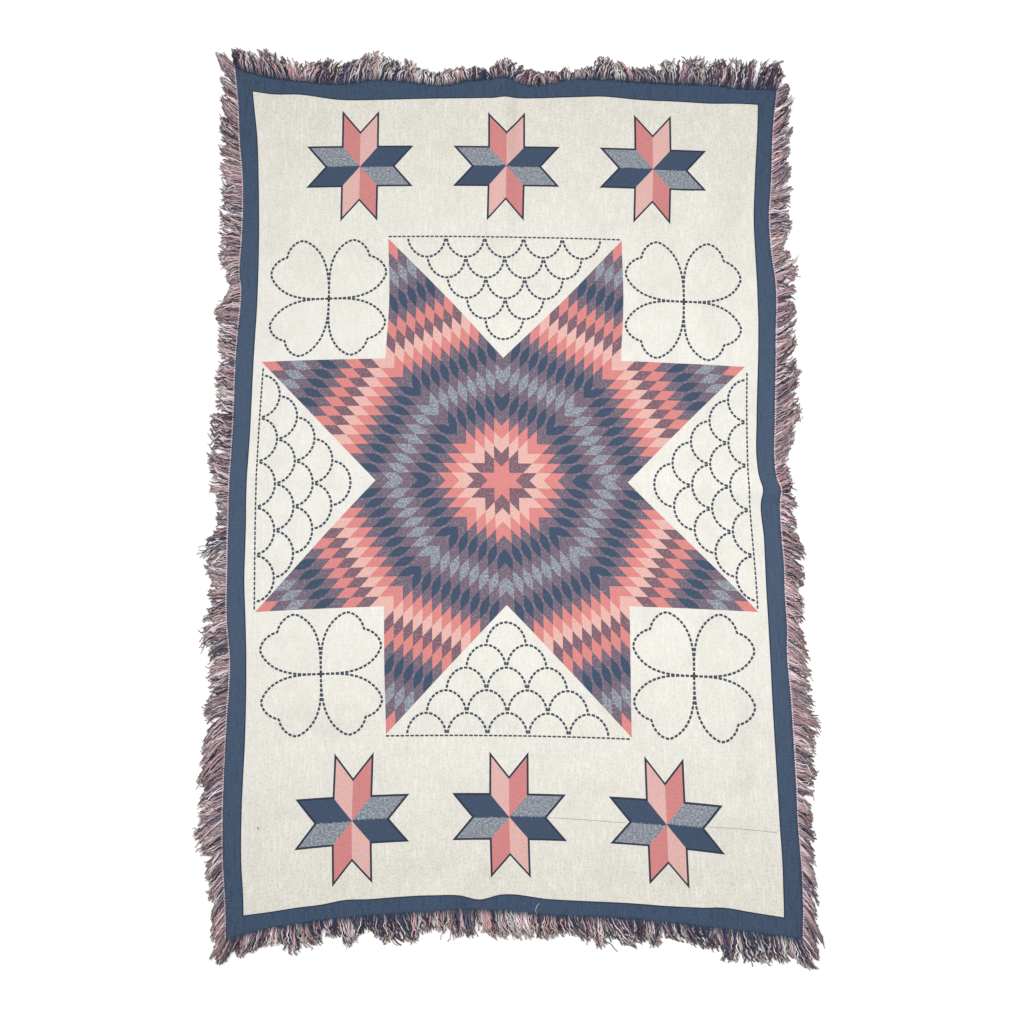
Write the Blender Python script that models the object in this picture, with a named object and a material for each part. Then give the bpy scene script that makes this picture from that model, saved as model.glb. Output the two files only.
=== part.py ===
"""Woven cotton throw with a fringe on all four sides, laid out flat.

Run with: blender --background --python part.py
Metres, +Z up. +X runs across the throw and +Y along it. The origin is in the middle of the whole
throw's footprint, on the surface that it lies on. The cloth is uneven, as it lies in use: its
sides bow and wave, and a few old fold lines stand a little off the surface.
"""

from collections import namedtuple

import bmesh
import bpy
import numpy as np

# The cloth as it was woven
CLOTH_WIDTH = 1.09
CLOTH_LENGTH = 1.69
CLOTH_THICKNESS = 0.0025
BORDER_WIDTH = 0.035

# How the cloth lies: a wave in its edge has died away this far in from the edge
WAVE_DEPTH = 0.30

# The strip that holds the roots of a fringe, and the gap that parts touching pieces
STRIP_WIDTH = 0.006
GAP = 0.0003

# Fringe locks: their spacing, and the share of it that a root fills
LOCK_PITCH = 0.025
ROOT_SHARE = 0.72
TUFT_OF_LOCKS = 3
TUFT_PULL = 0.24
STRAY_PULL = 0.07
REACH_SPREAD = 0.12
SEED = 11

# A lock's sections from root to tip: how far out as a share of its reach, its width as a share of
# the root, and its height above its underside
LockStep = namedtuple("LockStep", "out width height")
LOCK_STEPS = (
    LockStep(out=0.36, width=0.92, height=0.0042),
    LockStep(out=0.74, width=0.66, height=0.0036),
    LockStep(out=1.00, width=0.26, height=0.0016),
)

# The sides as they lie, measured from the middle of the cloth. One row for each place where a
# side changes: how far along the side it is, where the cloth's edge lies there, how far the
# fringe reaches past the edge, and how far its tips lean along the side as a share of that reach.
Section = namedtuple("Section", "along edge reach lean")
LEFT = (
    Section(-0.877, -0.532, 0.028, -0.45),
    Section(-0.801, -0.535, 0.036, -0.20),
    Section(-0.726, -0.541, 0.046, -0.05),
    Section(-0.640, -0.543, 0.051, 0.00),
    Section(-0.487, -0.540, 0.040, -0.10),
    Section(-0.344, -0.535, 0.050, 0.05),
    Section(-0.188, -0.544, 0.043, 0.00),
    Section(-0.125, -0.544, 0.051, -0.15),
    Section(-0.079, -0.544, 0.026, 0.00),
    Section(-0.030, -0.544, 0.034, 0.10),
    Section(0.107, -0.539, 0.047, 0.00),
    Section(0.291, -0.534, 0.040, 0.00),
    Section(0.354, -0.529, 0.048, 0.05),
    Section(0.395, -0.528, 0.030, 0.00),
    Section(0.488, -0.529, 0.046, -0.05),
    Section(0.620, -0.529, 0.042, 0.00),
    Section(0.703, -0.537, 0.039, 0.10),
    Section(0.787, -0.542, 0.031, 0.30),
    Section(0.859, -0.550, 0.031, 0.55),
)
RIGHT = (
    Section(-0.877, 0.569, 0.036, -0.60),
    Section(-0.801, 0.571, 0.024, -0.45),
    Section(-0.726, 0.569, 0.021, -0.35),
    Section(-0.670, 0.565, 0.031, -0.30),
    Section(-0.574, 0.562, 0.039, -0.30),
    Section(-0.430, 0.556, 0.048, -0.25),
    Section(-0.320, 0.550, 0.040, -0.20),
    Section(-0.220, 0.545, 0.033, -0.10),
    Section(-0.109, 0.542, 0.041, 0.00),
    Section(-0.034, 0.542, 0.033, 0.10),
    Section(-0.010, 0.548, 0.030, 0.15),
    Section(0.010, 0.539, 0.026, 0.10),
    Section(0.049, 0.534, 0.025, 0.00),
    Section(0.129, 0.531, 0.041, -0.05),
    Section(0.291, 0.538, 0.038, 0.00),
    Section(0.454, 0.534, 0.040, 0.00),
    Section(0.537, 0.531, 0.034, 0.05),
    Section(0.620, 0.537, 0.042, 0.05),
    Section(0.740, 0.544, 0.034, 0.15),
    Section(0.812, 0.553, 0.029, 0.35),
)
BOTTOM = (
    Section(-0.532, -0.877, 0.036, -0.30),
    Section(-0.440, -0.855, 0.038, -0.15),
    Section(-0.402, -0.849, 0.050, -0.10),
    Section(-0.350, -0.842, 0.036, 0.00),
    Section(-0.306, -0.837, 0.046, 0.05),
    Section(-0.262, -0.833, 0.030, 0.05),
    Section(-0.200, -0.829, 0.054, 0.05),
    Section(-0.140, -0.825, 0.034, 0.10),
    Section(-0.085, -0.821, 0.048, 0.10),
    Section(-0.009, -0.823, 0.056, 0.05),
    Section(0.087, -0.832, 0.030, 0.10),
    Section(0.144, -0.834, 0.044, 0.10),
    Section(0.240, -0.839, 0.054, 0.15),
    Section(0.316, -0.846, 0.034, 0.10),
    Section(0.413, -0.857, 0.050, 0.15),
    Section(0.475, -0.864, 0.054, 0.20),
    Section(0.569, -0.877, 0.050, 0.40),
)
TOP = (
    Section(-0.550, 0.859, 0.030, -0.50),
    Section(-0.509, 0.844, 0.042, -0.30),
    Section(-0.476, 0.836, 0.036, -0.20),
    Section(-0.417, 0.829, 0.042, -0.10),
    Section(-0.336, 0.823, 0.040, 0.00),
    Section(-0.254, 0.831, 0.048, 0.05),
    Section(-0.173, 0.825, 0.032, 0.00),
    Section(-0.132, 0.820, 0.028, 0.00),
    Section(-0.071, 0.831, 0.030, 0.10),
    Section(0.004, 0.834, 0.038, 0.00),
    Section(0.040, 0.821, 0.028, -0.10),
    Section(0.152, 0.834, 0.019, 0.00),
    Section(0.192, 0.833, 0.034, 0.00),
    Section(0.273, 0.827, 0.024, 0.05),
    Section(0.350, 0.823, 0.052, 0.05),
    Section(0.414, 0.821, 0.043, 0.05),
    Section(0.477, 0.813, 0.048, 0.15),
    Section(0.553, 0.812, 0.046, 0.35),
)

# Old fold lines and ripples: soft ridges between two points, with their height at each
Fold = namedtuple("Fold", "x0 y0 height0 x1 y1 height1 half_width")
FOLDS = (
    Fold(0.600, -0.012, 0.009, 0.330, -0.004, 0.003, 0.034),
    Fold(0.330, -0.004, 0.003, -0.600, 0.020, 0.002, 0.030),
    Fold(0.000, 0.900, 0.009, 0.000, 0.520, 0.002, 0.026),
    Fold(0.290, 0.560, 0.003, 0.270, 0.210, 0.001, 0.055),
    Fold(0.420, 0.600, 0.005, 0.400, 0.170, 0.002, 0.060),
    Fold(0.500, 0.330, 0.004, 0.470, 0.120, 0.001, 0.050),
    Fold(0.330, -0.420, 0.002, 0.440, -0.560, 0.005, 0.050),
    Fold(-0.130, -0.820, 0.005, -0.030, -0.720, 0.002, 0.045),
    Fold(0.150, -0.640, 0.002, 0.440, -0.655, 0.004, 0.045),
    Fold(0.392, -0.900, 0.006, 0.385, -0.800, 0.002, 0.030),
)

# Where the cloth's middle fold lines cross it, as shares of its width and length, and how far to
# each side of a fold line its flanks run
FOLD_COLUMN = 0.4986
FOLD_ROW = 0.514
FLANK = 0.022
COLUMNS_EACH_SIDE = 10
ROWS_EACH_SIDE = 16

# Colours and finishes
CREAM = (0.71, 0.68, 0.62)
NAVY = (0.070, 0.108, 0.180)
MAUVE = (0.27, 0.19, 0.25)
COTTON_ROUGHNESS = 0.92

Side = namedtuple("Side", "name sections upright outward")
SIDES = (
    Side("left", LEFT, True, -1.0),
    Side("right", RIGHT, True, 1.0),
    Side("bottom", BOTTOM, False, -1.0),
    Side("top", TOP, False, 1.0),
)
NEIGHBOURS = {"left": ("bottom", "top"), "right": ("bottom", "top"),
              "bottom": ("left", "right"), "top": ("left", "right")}


def clear_scene():
    for obj in list(bpy.data.objects):
        bpy.data.objects.remove(obj, do_unlink=True)


def cotton(name, colour):
    """A matt cotton material in one colour."""
    material = bpy.data.materials.new(name)
    material.use_nodes = True
    shader = material.node_tree.nodes["Principled BSDF"]
    shader.inputs["Base Color"].default_value = (*colour, 1.0)
    shader.inputs["Roughness"].default_value = COTTON_ROUGHNESS
    shader.inputs["Metallic"].default_value = 0.0
    material.diffuse_color = (*colour, 1.0)
    return material


def smooth_curve(stations, values, at):
    """A cubic through the values, with each slope taken from the neighbours on both sides."""
    stations = np.asarray(stations, float)
    values = np.asarray(values, float)
    slopes = np.gradient(values, stations)
    k = np.clip(np.searchsorted(stations, at) - 1, 0, len(stations) - 2)
    step = stations[k + 1] - stations[k]
    t = (at - stations[k]) / step
    return (
        (2 * t**3 - 3 * t**2 + 1) * values[k]
        + (t**3 - 2 * t**2 + t) * step * slopes[k]
        + (3 * t**2 - 2 * t**3) * values[k + 1]
        + (t**3 - t**2) * step * slopes[k + 1]
    )


def side_points(side, shares):
    """Points of the cloth's edge on one side, at shares of the way along it."""
    along = np.array([section.along for section in side.sections])
    edge = [section.edge for section in side.sections]
    here = along[0] + (along[-1] - along[0]) * np.asarray(shares, float)
    off = smooth_curve(along, edge, here)
    return np.stack([off, here] if side.upright else [here, off], axis=-1)


def lay_cloth(u, v):
    """Where a point of the flat cloth lies, from its shares u across and v along.

    A four-sided patch between the corners, plus each side's own waves, which die away inwards.
    """
    sides = {side.name: side for side in SIDES}
    low_left, high_left = side_points(sides["left"], [0.0, 1.0])
    low_right, high_right = side_points(sides["right"], [0.0, 1.0])
    u = np.asarray(u, float)[..., None]
    v = np.asarray(v, float)[..., None]
    low = low_left + (low_right - low_left) * u
    high = high_left + (high_right - high_left) * u
    laid = low + (high - low) * v
    corners = {"left": (low_left, high_left, v, u * CLOTH_WIDTH),
               "right": (low_right, high_right, v, (1 - u) * CLOTH_WIDTH),
               "bottom": (low_left, low_right, u, v * CLOTH_LENGTH),
               "top": (high_left, high_right, u, (1 - v) * CLOTH_LENGTH)}
    for name, (start, end, share, inwards) in corners.items():
        wave = side_points(sides[name], share[..., 0]) - (start + (end - start) * share)
        laid = laid + wave * np.clip(1 - inwards / WAVE_DEPTH, 0, 1) ** 2
    return laid


def lift_of(points):
    """Height of the cloth's underside: the tallest ridge over each point, and zero elsewhere.

    A ridge falls from its line to nothing at its half width as (1 - distance squared) squared.
    """
    lift = np.zeros(points.shape[:-1])
    for fold in FOLDS:
        start = np.array([fold.x0, fold.y0])
        run = np.array([fold.x1, fold.y1]) - start
        share = np.clip(((points - start) @ run) / (run @ run), 0, 1)
        distance = np.linalg.norm(points - (start + share[..., None] * run), axis=-1)
        height = fold.height0 + (fold.height1 - fold.height0) * share
        bump = np.clip(1 - (distance / fold.half_width) ** 2, 0, 1) ** 2
        lift = np.maximum(lift, height * bump)
    return lift


def grid_shares(border, fold, flank, cells):
    """Shares along one way of the cloth: its border lines, a fold line with its flanks, and
    even cells between."""
    below = np.linspace(border, fold - flank, cells + 1)
    above = np.linspace(fold + flank, 1 - border, cells + 1)
    return np.concatenate([[0.0], below, [fold], above, [1.0]])


def cloth_grid():
    """Corner points of the cloth's cells as rows of (x, y, z), and the shares they came from."""
    columns = grid_shares(BORDER_WIDTH / CLOTH_WIDTH, FOLD_COLUMN, FLANK / CLOTH_WIDTH,
                          COLUMNS_EACH_SIDE)
    rows = grid_shares(BORDER_WIDTH / CLOTH_LENGTH, FOLD_ROW, FLANK / CLOTH_LENGTH,
                       ROWS_EACH_SIDE)
    u, v = np.meshgrid(columns, rows)
    laid = lay_cloth(u, v)
    return np.concatenate([laid, lift_of(laid)[..., None]], axis=-1)


def finish_object(name, bm, materials):
    """Turns a bmesh with its faces pointing out into a named object."""
    bmesh.ops.recalc_face_normals(bm, faces=bm.faces)
    mesh = bpy.data.meshes.new(name)
    bm.to_mesh(mesh)
    bm.free()
    for material in materials:
        mesh.materials.append(material)
    obj = bpy.data.objects.new(name, mesh)
    bpy.context.scene.collection.objects.link(obj)
    return obj


def make_panel(grid, field, border):
    """The cloth: a sheet of cells, raised straight up by its thickness."""
    bm = bmesh.new()
    rows, columns = grid.shape[:2]
    corners = [[bm.verts.new(point) for point in row] for row in grid]
    for j in range(rows - 1):
        for i in range(columns - 1):
            face = bm.faces.new((corners[j][i], corners[j][i + 1],
                                 corners[j + 1][i + 1], corners[j + 1][i]))
            at_rim = i in (0, columns - 2) or j in (0, rows - 2)
            face.material_index = 1 if at_rim else 0
    raised = bmesh.ops.extrude_face_region(bm, geom=bm.faces[:], use_keep_orig=True)
    top = [item for item in raised["geom"] if isinstance(item, bmesh.types.BMVert)]
    bmesh.ops.translate(bm, verts=top, vec=(0, 0, CLOTH_THICKNESS))
    return finish_object("woven_panel", bm, (field, border))


def edge_of(grid, name):
    """The panel's corner points along one side, in the side's own order."""
    return {"left": grid[:, 0], "right": grid[:, -1],
            "bottom": grid[0], "top": grid[-1]}[name]


def side_normals(edge, outward, upright):
    """Unit vectors square to each stretch of an edge, pointing away from the cloth."""
    run = np.diff(edge[:, :2], axis=0)
    run /= np.linalg.norm(run, axis=1)[:, None]
    normals = np.stack([run[:, 1], -run[:, 0]], axis=1)
    keep = outward if upright else -outward
    return normals * keep


def mitre(first, second):
    """The offset of a corner for an offset of one from both of its sides."""
    return (first + second) / (1 + first @ second)


def corner_offsets(grid, side):
    """Mitred offset vectors at each corner point of an edge, its two ends with the next sides."""
    normals = side_normals(edge_of(grid, side.name), side.outward, side.upright)
    beside = {other.name: side_normals(edge_of(grid, other.name), other.outward, other.upright)
              for other in SIDES}
    at_start, at_end = NEIGHBOURS[side.name]
    nearest = 0 if side.name in ("left", "bottom") else -1
    start = mitre(normals[0], beside[at_start][nearest])
    end = mitre(normals[-1], beside[at_end][nearest])
    inner = [mitre(a, b) for a, b in zip(normals[:-1], normals[1:])]
    return np.array([start, *inner, end])


def strip_stations(edge):
    """Where the strip's cross-sections stand, and which cells between them hold a root.

    Each stretch of the edge holds whole locks. Returns pairs (stretch, share of it) and a list
    that is true for a cell with a root.
    """
    lengths = np.linalg.norm(np.diff(edge[:, :2], axis=0), axis=1)
    stations = [(0, 0.0)]
    has_root = []
    for stretch, length in enumerate(lengths):
        count = max(1, round(length / LOCK_PITCH))
        for lock in range(count):
            middle = (lock + 0.5) / count
            half = ROOT_SHARE / count / 2
            stations += [(stretch, middle - half), (stretch, middle + half)]
            has_root += [False, True]
        stations.append((stretch, 1.0))
        has_root.append(False)
    return stations, has_root


def station_points(edge, offsets, stations, distance):
    """Points that lie a distance outside the edge, at the given stations."""
    line = edge.copy()
    line[:, :2] += offsets * distance
    return np.array([line[k] + (line[k + 1] - line[k]) * share for k, share in stations])


def part_ends(points):
    """Draws both ends of a line back by a gap, to part it from the next strip."""
    points = points.copy()
    for end, inner in ((0, 1), (-1, -2)):
        run = points[inner] - points[end]
        points[end] += run / np.linalg.norm(run) * GAP
    return points


def make_fringe(grid, side, yarn, random):
    """One side's fringe: a narrow strip along the cloth's edge, with locks drawn out of it."""
    edge = edge_of(grid, side.name)
    offsets = corner_offsets(grid, side)
    stations, has_root = strip_stations(edge)
    near = part_ends(station_points(edge, offsets, stations, GAP))
    far = part_ends(station_points(edge, offsets, stations, GAP + STRIP_WIDTH))
    up = np.array([0.0, 0.0, CLOTH_THICKNESS])
    bm = bmesh.new()
    sections = [[bm.verts.new(point) for point in (a, a + up, b + up, b)]
                for a, b in zip(near, far)]
    for end in (0, -1):
        bm.faces.new(sections[end])
    along = [section.along for section in side.sections]
    lock = 0
    for k, rooted in enumerate(has_root):
        a, b = sections[k], sections[k + 1]
        bm.faces.new((a[0], a[1], b[1], b[0]))
        bm.faces.new((a[1], a[2], b[2], b[1]))
        bm.faces.new((a[3], a[0], b[0], b[3]))
        if not rooted:
            bm.faces.new((a[2], a[3], b[3], b[2]))
            continue
        root = (far[k] + far[k + 1]) / 2
        here = root[1] if side.upright else root[0]
        reach = np.interp(here, along, [section.reach for section in side.sections])
        lean = np.interp(here, along, [section.lean for section in side.sections])
        reach = reach * (1 + REACH_SPREAD * random.uniform(-1, 1)) - STRIP_WIDTH
        pull = TUFT_PULL * (1 - lock % TUFT_OF_LOCKS) + STRAY_PULL * random.uniform(-1, 1)
        draw_lock(bm, (a, b), far[k], far[k + 1], edge, offsets, stations[k][0], reach,
                  lean * reach + pull * LOCK_PITCH)
        lock += 1
    return finish_object("fringe_" + side.name, bm, (yarn,))


def draw_lock(bm, strip_sections, start, end, edge, offsets, stretch, reach, sideways):
    """Draws a lock out of the strip's outer face, in narrowing steps that end flat on the floor.

    Its middle runs straight out by the reach, and sideways by a power of the way out.
    """
    run = end - start
    width = np.linalg.norm(run[:2])
    across = np.array([*(run[:2] / width), 0.0])
    out = np.array([*(offsets[stretch] + offsets[stretch + 1]), 0.0])
    out -= across * (out @ across)
    out /= np.linalg.norm(out)
    middle = (start + end) / 2
    a, b = strip_sections
    ring = [a[3], a[2], b[2], b[3]]
    for step in LOCK_STEPS:
        centre = middle + out * reach * step.out + across * sideways * step.out**1.5
        centre[2] = middle[2] * (1 - step.out) ** 2
        half = across * width * step.width / 2
        top = np.array([0.0, 0.0, step.height])
        corners = (centre - half, centre - half + top, centre + half + top, centre + half)
        following = [bm.verts.new(corner) for corner in corners]
        for i in range(4):
            j = (i + 1) % 4
            bm.faces.new((ring[i], ring[j], following[j], following[i]))
        ring = following
    bm.faces.new(ring)


def centre_on_origin(objects):
    """Moves the throw so that the middle of its footprint is the origin."""
    points = np.array([vertex.co[:2] for obj in objects for vertex in obj.data.vertices])
    middle = (points.min(axis=0) + points.max(axis=0)) / 2
    for obj in objects:
        obj.location = (-middle[0], -middle[1], 0.0)


def main():
    clear_scene()
    field = cotton("cream_field", CREAM)
    border = cotton("navy_border", NAVY)
    yarn = cotton("fringe_yarn", MAUVE)
    grid = cloth_grid()
    random = np.random.default_rng(SEED)
    throw = [make_panel(grid, field, border)]
    for side in SIDES:
        throw.append(make_fringe(grid, side, yarn, random))
    centre_on_origin(throw)


main()
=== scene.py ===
# %% [markdown]
# # A woven cotton throw with a star, laid out flat
#
# The real thing is one length of jacquard cloth. Its border, stars and dashed figures are all
# woven in, and its own threads run past the edges as a fringe. It lies on a pale floor and is
# seen from almost straight above. The cloth has been folded away and laid out again, so its sides
# bow, and a few old fold lines still stand up.
#
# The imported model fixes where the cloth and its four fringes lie. This lesson dresses them: a
# fine sheet takes the place of the plain panel, and loose yarns take the place of the locks.

# %% The frame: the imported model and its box
from collections import namedtuple

import bpy
import numpy as np
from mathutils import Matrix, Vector


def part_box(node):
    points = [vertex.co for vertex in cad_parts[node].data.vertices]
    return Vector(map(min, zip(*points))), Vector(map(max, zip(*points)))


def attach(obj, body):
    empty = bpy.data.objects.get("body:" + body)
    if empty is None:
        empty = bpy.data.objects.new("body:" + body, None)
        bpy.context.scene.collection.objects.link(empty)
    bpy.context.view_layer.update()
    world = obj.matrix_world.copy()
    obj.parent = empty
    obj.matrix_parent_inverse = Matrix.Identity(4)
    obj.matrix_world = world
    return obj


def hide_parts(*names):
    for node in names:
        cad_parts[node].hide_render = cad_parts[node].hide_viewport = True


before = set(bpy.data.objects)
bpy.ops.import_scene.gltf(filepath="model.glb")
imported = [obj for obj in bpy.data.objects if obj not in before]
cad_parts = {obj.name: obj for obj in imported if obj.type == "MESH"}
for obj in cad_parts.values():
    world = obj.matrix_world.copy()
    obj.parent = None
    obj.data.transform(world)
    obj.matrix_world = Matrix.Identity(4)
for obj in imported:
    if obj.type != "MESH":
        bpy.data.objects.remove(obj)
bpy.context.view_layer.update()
print("nodes:", sorted(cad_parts))

# %% [markdown]
# ## Colours
#
# A handful of yarns make the whole throw. They are written as they look on a screen, from 0 to
# 255, and turned into the linear values that a renderer adds up. The lamps together light a flat
# surface by LIGHT_LEVEL, so that much is taken off first.


# %% Yarn colours
LIGHT_LEVEL = 1.05


def linear(red, green, blue):
    """Screen values to linear ones: ((s + 0.055) / 1.055) to the power 2.4, over the light."""
    s = np.array([red, green, blue]) / 255
    return tuple(((s + 0.055) / 1.055) ** 2.4 / LIGHT_LEVEL)


CREAM = linear(238, 235, 224)
NAVY = linear(68, 85, 108)
DEEP_NAVY = linear(48, 56, 74)
PALE_NAVY = linear(96, 114, 138)
SALMON = linear(226, 142, 138)
PINK = linear(240, 190, 180)
MAUVE = linear(120, 107, 123)
PLUM = linear(132, 103, 115)
GREY = linear(146, 152, 163)
LILAC = linear(142, 128, 150)
# Not a yarn: painted shade for the grooves between a yarn's plies.
PLY_GROOVE_SHADE = linear(56, 46, 56)
print("cream in linear light:", np.round(CREAM, 3))

# %% [markdown]
# ## How the throw lies
#
# The tables have one row for each place where a side changes, measured in the photograph and
# scaled to the cloth's real size, in metres from the middle of the cloth. Between the rows a cubic
# curve keeps the side smooth, which is how cloth bends. The fringe's reach and lean come from the
# same rows, so that it thins out and swings where the real one does.

# %% Tables of the four sides
Section = namedtuple("Section", "along edge border reach lean")


def rows_of(kind, rows):
    """A table's rows with their columns named."""
    return [kind(*row) for row in rows]


LEFT = rows_of(Section, (
    (-0.877, -0.532, 0.0340, 0.026, -1.5),
    (-0.801, -0.535, 0.0355, 0.028, -1.6),
    (-0.726, -0.541, 0.0360, 0.043, -0.9),
    (-0.640, -0.543, 0.0370, 0.049, -0.7),
    (-0.487, -0.540, 0.0380, 0.036, -1.0),
    (-0.344, -0.535, 0.0325, 0.049, -0.3),
    (-0.260, -0.543, 0.0370, 0.042, -0.1),
    (-0.188, -0.544, 0.0345, 0.038, 0.0),
    (-0.125, -0.544, 0.0350, 0.050, -0.4),
    (-0.079, -0.544, 0.0355, 0.020, 0.1),
    (-0.030, -0.544, 0.0350, 0.031, 0.1),
    (0.107, -0.539, 0.0350, 0.043, 0.1),
    (0.291, -0.534, 0.0360, 0.038, 0.0),
    (0.354, -0.529, 0.0340, 0.049, -0.2),
    (0.395, -0.528, 0.0340, 0.028, -0.5),
    (0.427, -0.532, 0.0385, 0.031, -0.3),
    (0.488, -0.529, 0.0355, 0.042, 0.0),
    (0.620, -0.529, 0.0325, 0.043, 0.2),
    (0.703, -0.537, 0.0365, 0.039, 0.9),
    (0.787, -0.542, 0.0320, 0.031, 1.1),
    (0.859, -0.550, 0.0330, 0.032, 1.5),
))
RIGHT = rows_of(Section, (
    (-0.877, 0.569, 0.0360, 0.034, -1.5),
    (-0.801, 0.571, 0.0380, 0.026, -1.5),
    (-0.726, 0.569, 0.0370, 0.023, -1.3),
    (-0.670, 0.565, 0.0360, 0.029, -0.9),
    (-0.574, 0.562, 0.0370, 0.038, -0.3),
    (-0.430, 0.556, 0.0370, 0.045, -0.6),
    (-0.320, 0.550, 0.0345, 0.039, -0.8),
    (-0.281, 0.551, 0.0370, 0.033, -0.8),
    (-0.220, 0.548, 0.0365, 0.036, -0.7),
    (-0.150, 0.547, 0.0375, 0.041, -0.6),
    (-0.109, 0.544, 0.0355, 0.035, -0.5),
    (-0.034, 0.542, 0.0385, 0.037, -0.1),
    (-0.010, 0.543, 0.0360, 0.028, 0.0),
    (0.010, 0.537, 0.0350, 0.025, 0.3),
    (0.049, 0.533, 0.0360, 0.031, 0.8),
    (0.129, 0.535, 0.0370, 0.044, 0.7),
    (0.291, 0.540, 0.0360, 0.041, 0.7),
    (0.415, 0.541, 0.0375, 0.041, 0.2),
    (0.454, 0.536, 0.0340, 0.043, 0.1),
    (0.537, 0.531, 0.0315, 0.038, 0.2),
    (0.620, 0.537, 0.0335, 0.042, 0.5),
    (0.740, 0.544, 0.0330, 0.036, 0.8),
    (0.812, 0.553, 0.0400, 0.027, 0.8),
))
BOTTOM = rows_of(Section, (
    (-0.532, -0.877, 0.0440, 0.034, -0.9),
    (-0.440, -0.855, 0.0340, 0.034, -0.5),
    (-0.402, -0.849, 0.0340, 0.046, -0.3),
    (-0.350, -0.842, 0.0335, 0.030, 0.0),
    (-0.306, -0.837, 0.0370, 0.046, 0.1),
    (-0.262, -0.833, 0.0345, 0.025, 0.1),
    (-0.200, -0.829, 0.0350, 0.055, 0.1),
    (-0.140, -0.825, 0.0340, 0.036, 0.1),
    (-0.085, -0.821, 0.0300, 0.049, 0.1),
    (-0.049, -0.822, 0.0230, 0.045, 0.1),
    (-0.009, -0.823, 0.0330, 0.052, 0.0),
    (0.087, -0.832, 0.0335, 0.036, 0.1),
    (0.144, -0.834, 0.0325, 0.043, 0.2),
    (0.240, -0.839, 0.0330, 0.052, 0.5),
    (0.316, -0.846, 0.0345, 0.032, 0.2),
    (0.380, -0.853, 0.0390, 0.038, 0.8),
    (0.413, -0.857, 0.0430, 0.047, 0.2),
    (0.475, -0.864, 0.0405, 0.050, 0.3),
    (0.569, -0.877, 0.0390, 0.046, 0.8),
))
TOP = rows_of(Section, (
    (-0.550, 0.859, 0.0500, 0.030, -0.7),
    (-0.509, 0.844, 0.0410, 0.044, -0.7),
    (-0.476, 0.836, 0.0380, 0.047, -0.5),
    (-0.417, 0.829, 0.0320, 0.039, 0.0),
    (-0.336, 0.823, 0.0370, 0.043, 0.3),
    (-0.254, 0.831, 0.0450, 0.054, 0.5),
    (-0.173, 0.825, 0.0370, 0.029, 0.0),
    (-0.132, 0.820, 0.0310, 0.030, 0.2),
    (-0.071, 0.831, 0.0415, 0.029, 0.0),
    (-0.037, 0.833, 0.0430, 0.016, 0.0),
    (0.004, 0.834, 0.0440, 0.045, 0.0),
    (0.040, 0.821, 0.0320, 0.029, 0.1),
    (0.152, 0.834, 0.0420, 0.020, 0.5),
    (0.192, 0.833, 0.0400, 0.040, 0.0),
    (0.273, 0.827, 0.0410, 0.026, -0.6),
    (0.350, 0.823, 0.0410, 0.053, 0.0),
    (0.414, 0.821, 0.0430, 0.049, 0.0),
    (0.477, 0.813, 0.0355, 0.051, 0.2),
    (0.553, 0.812, 0.0400, 0.052, 0.5),
))
Side = namedtuple("Side", "name sections upright outward")
SIDES = {
    "left": Side("left", LEFT, True, -1.0),
    "right": Side("right", RIGHT, True, 1.0),
    "bottom": Side("bottom", BOTTOM, False, -1.0),
    "top": Side("top", TOP, False, 1.0),
}
print("rows in the tables:", {name: len(side.sections) for name, side in SIDES.items()})


# %% Smooth curves through the tables
def column(rows, name):
    """One named column of a table."""
    return np.array([getattr(row, name) for row in rows])


def between_rows(rows, name, at):
    """A column's values between the rows, which stand where their first column says.

    A cubic runs through the values, with each slope taken from the neighbours on both sides.
    """
    stations = column(rows, rows[0]._fields[0])
    values = column(rows, name)
    slopes = np.gradient(values, stations)
    k = np.clip(np.searchsorted(stations, at) - 1, 0, len(stations) - 2)
    step = stations[k + 1] - stations[k]
    t = np.clip((at - stations[k]) / step, 0, 1)
    return (
        (2 * t**3 - 3 * t**2 + 1) * values[k]
        + (t**3 - 2 * t**2 + t) * step * slopes[k]
        + (3 * t**2 - 2 * t**3) * values[k + 1]
        + (t**3 - t**2) * step * slopes[k + 1]
    )


def length_of(side):
    """How long a side is, from its first row to its last."""
    return side.sections[-1].along - side.sections[0].along


def side_points(side, shares):
    """Points of the cloth's edge on one side, at shares of the way along it."""
    here = side.sections[0].along + length_of(side) * np.asarray(shares, float)
    off = between_rows(side.sections, "edge", here)
    return np.stack([off, here] if side.upright else [here, off], axis=-1)


print("left edge half way up:", np.round(side_points(SIDES["left"], 0.5), 3))

# %% [markdown]
# ## The flat cloth and the laid cloth
#
# The cloth left the loom as a rectangle. To lay it, every point keeps its place, and the edges
# are then pulled to where the tables say. A pull fades towards the middle as a square, so a
# kinked edge leaves the stars alone. At a corner two pulls would add up, so their shared part is
# taken off once.

# %% Laying the cloth
CLOTH_WIDTH = 1.09
CLOTH_LENGTH = 1.69
CLOTH_THICKNESS = 0.0025
WAVE_DEPTH = 0.30


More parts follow.
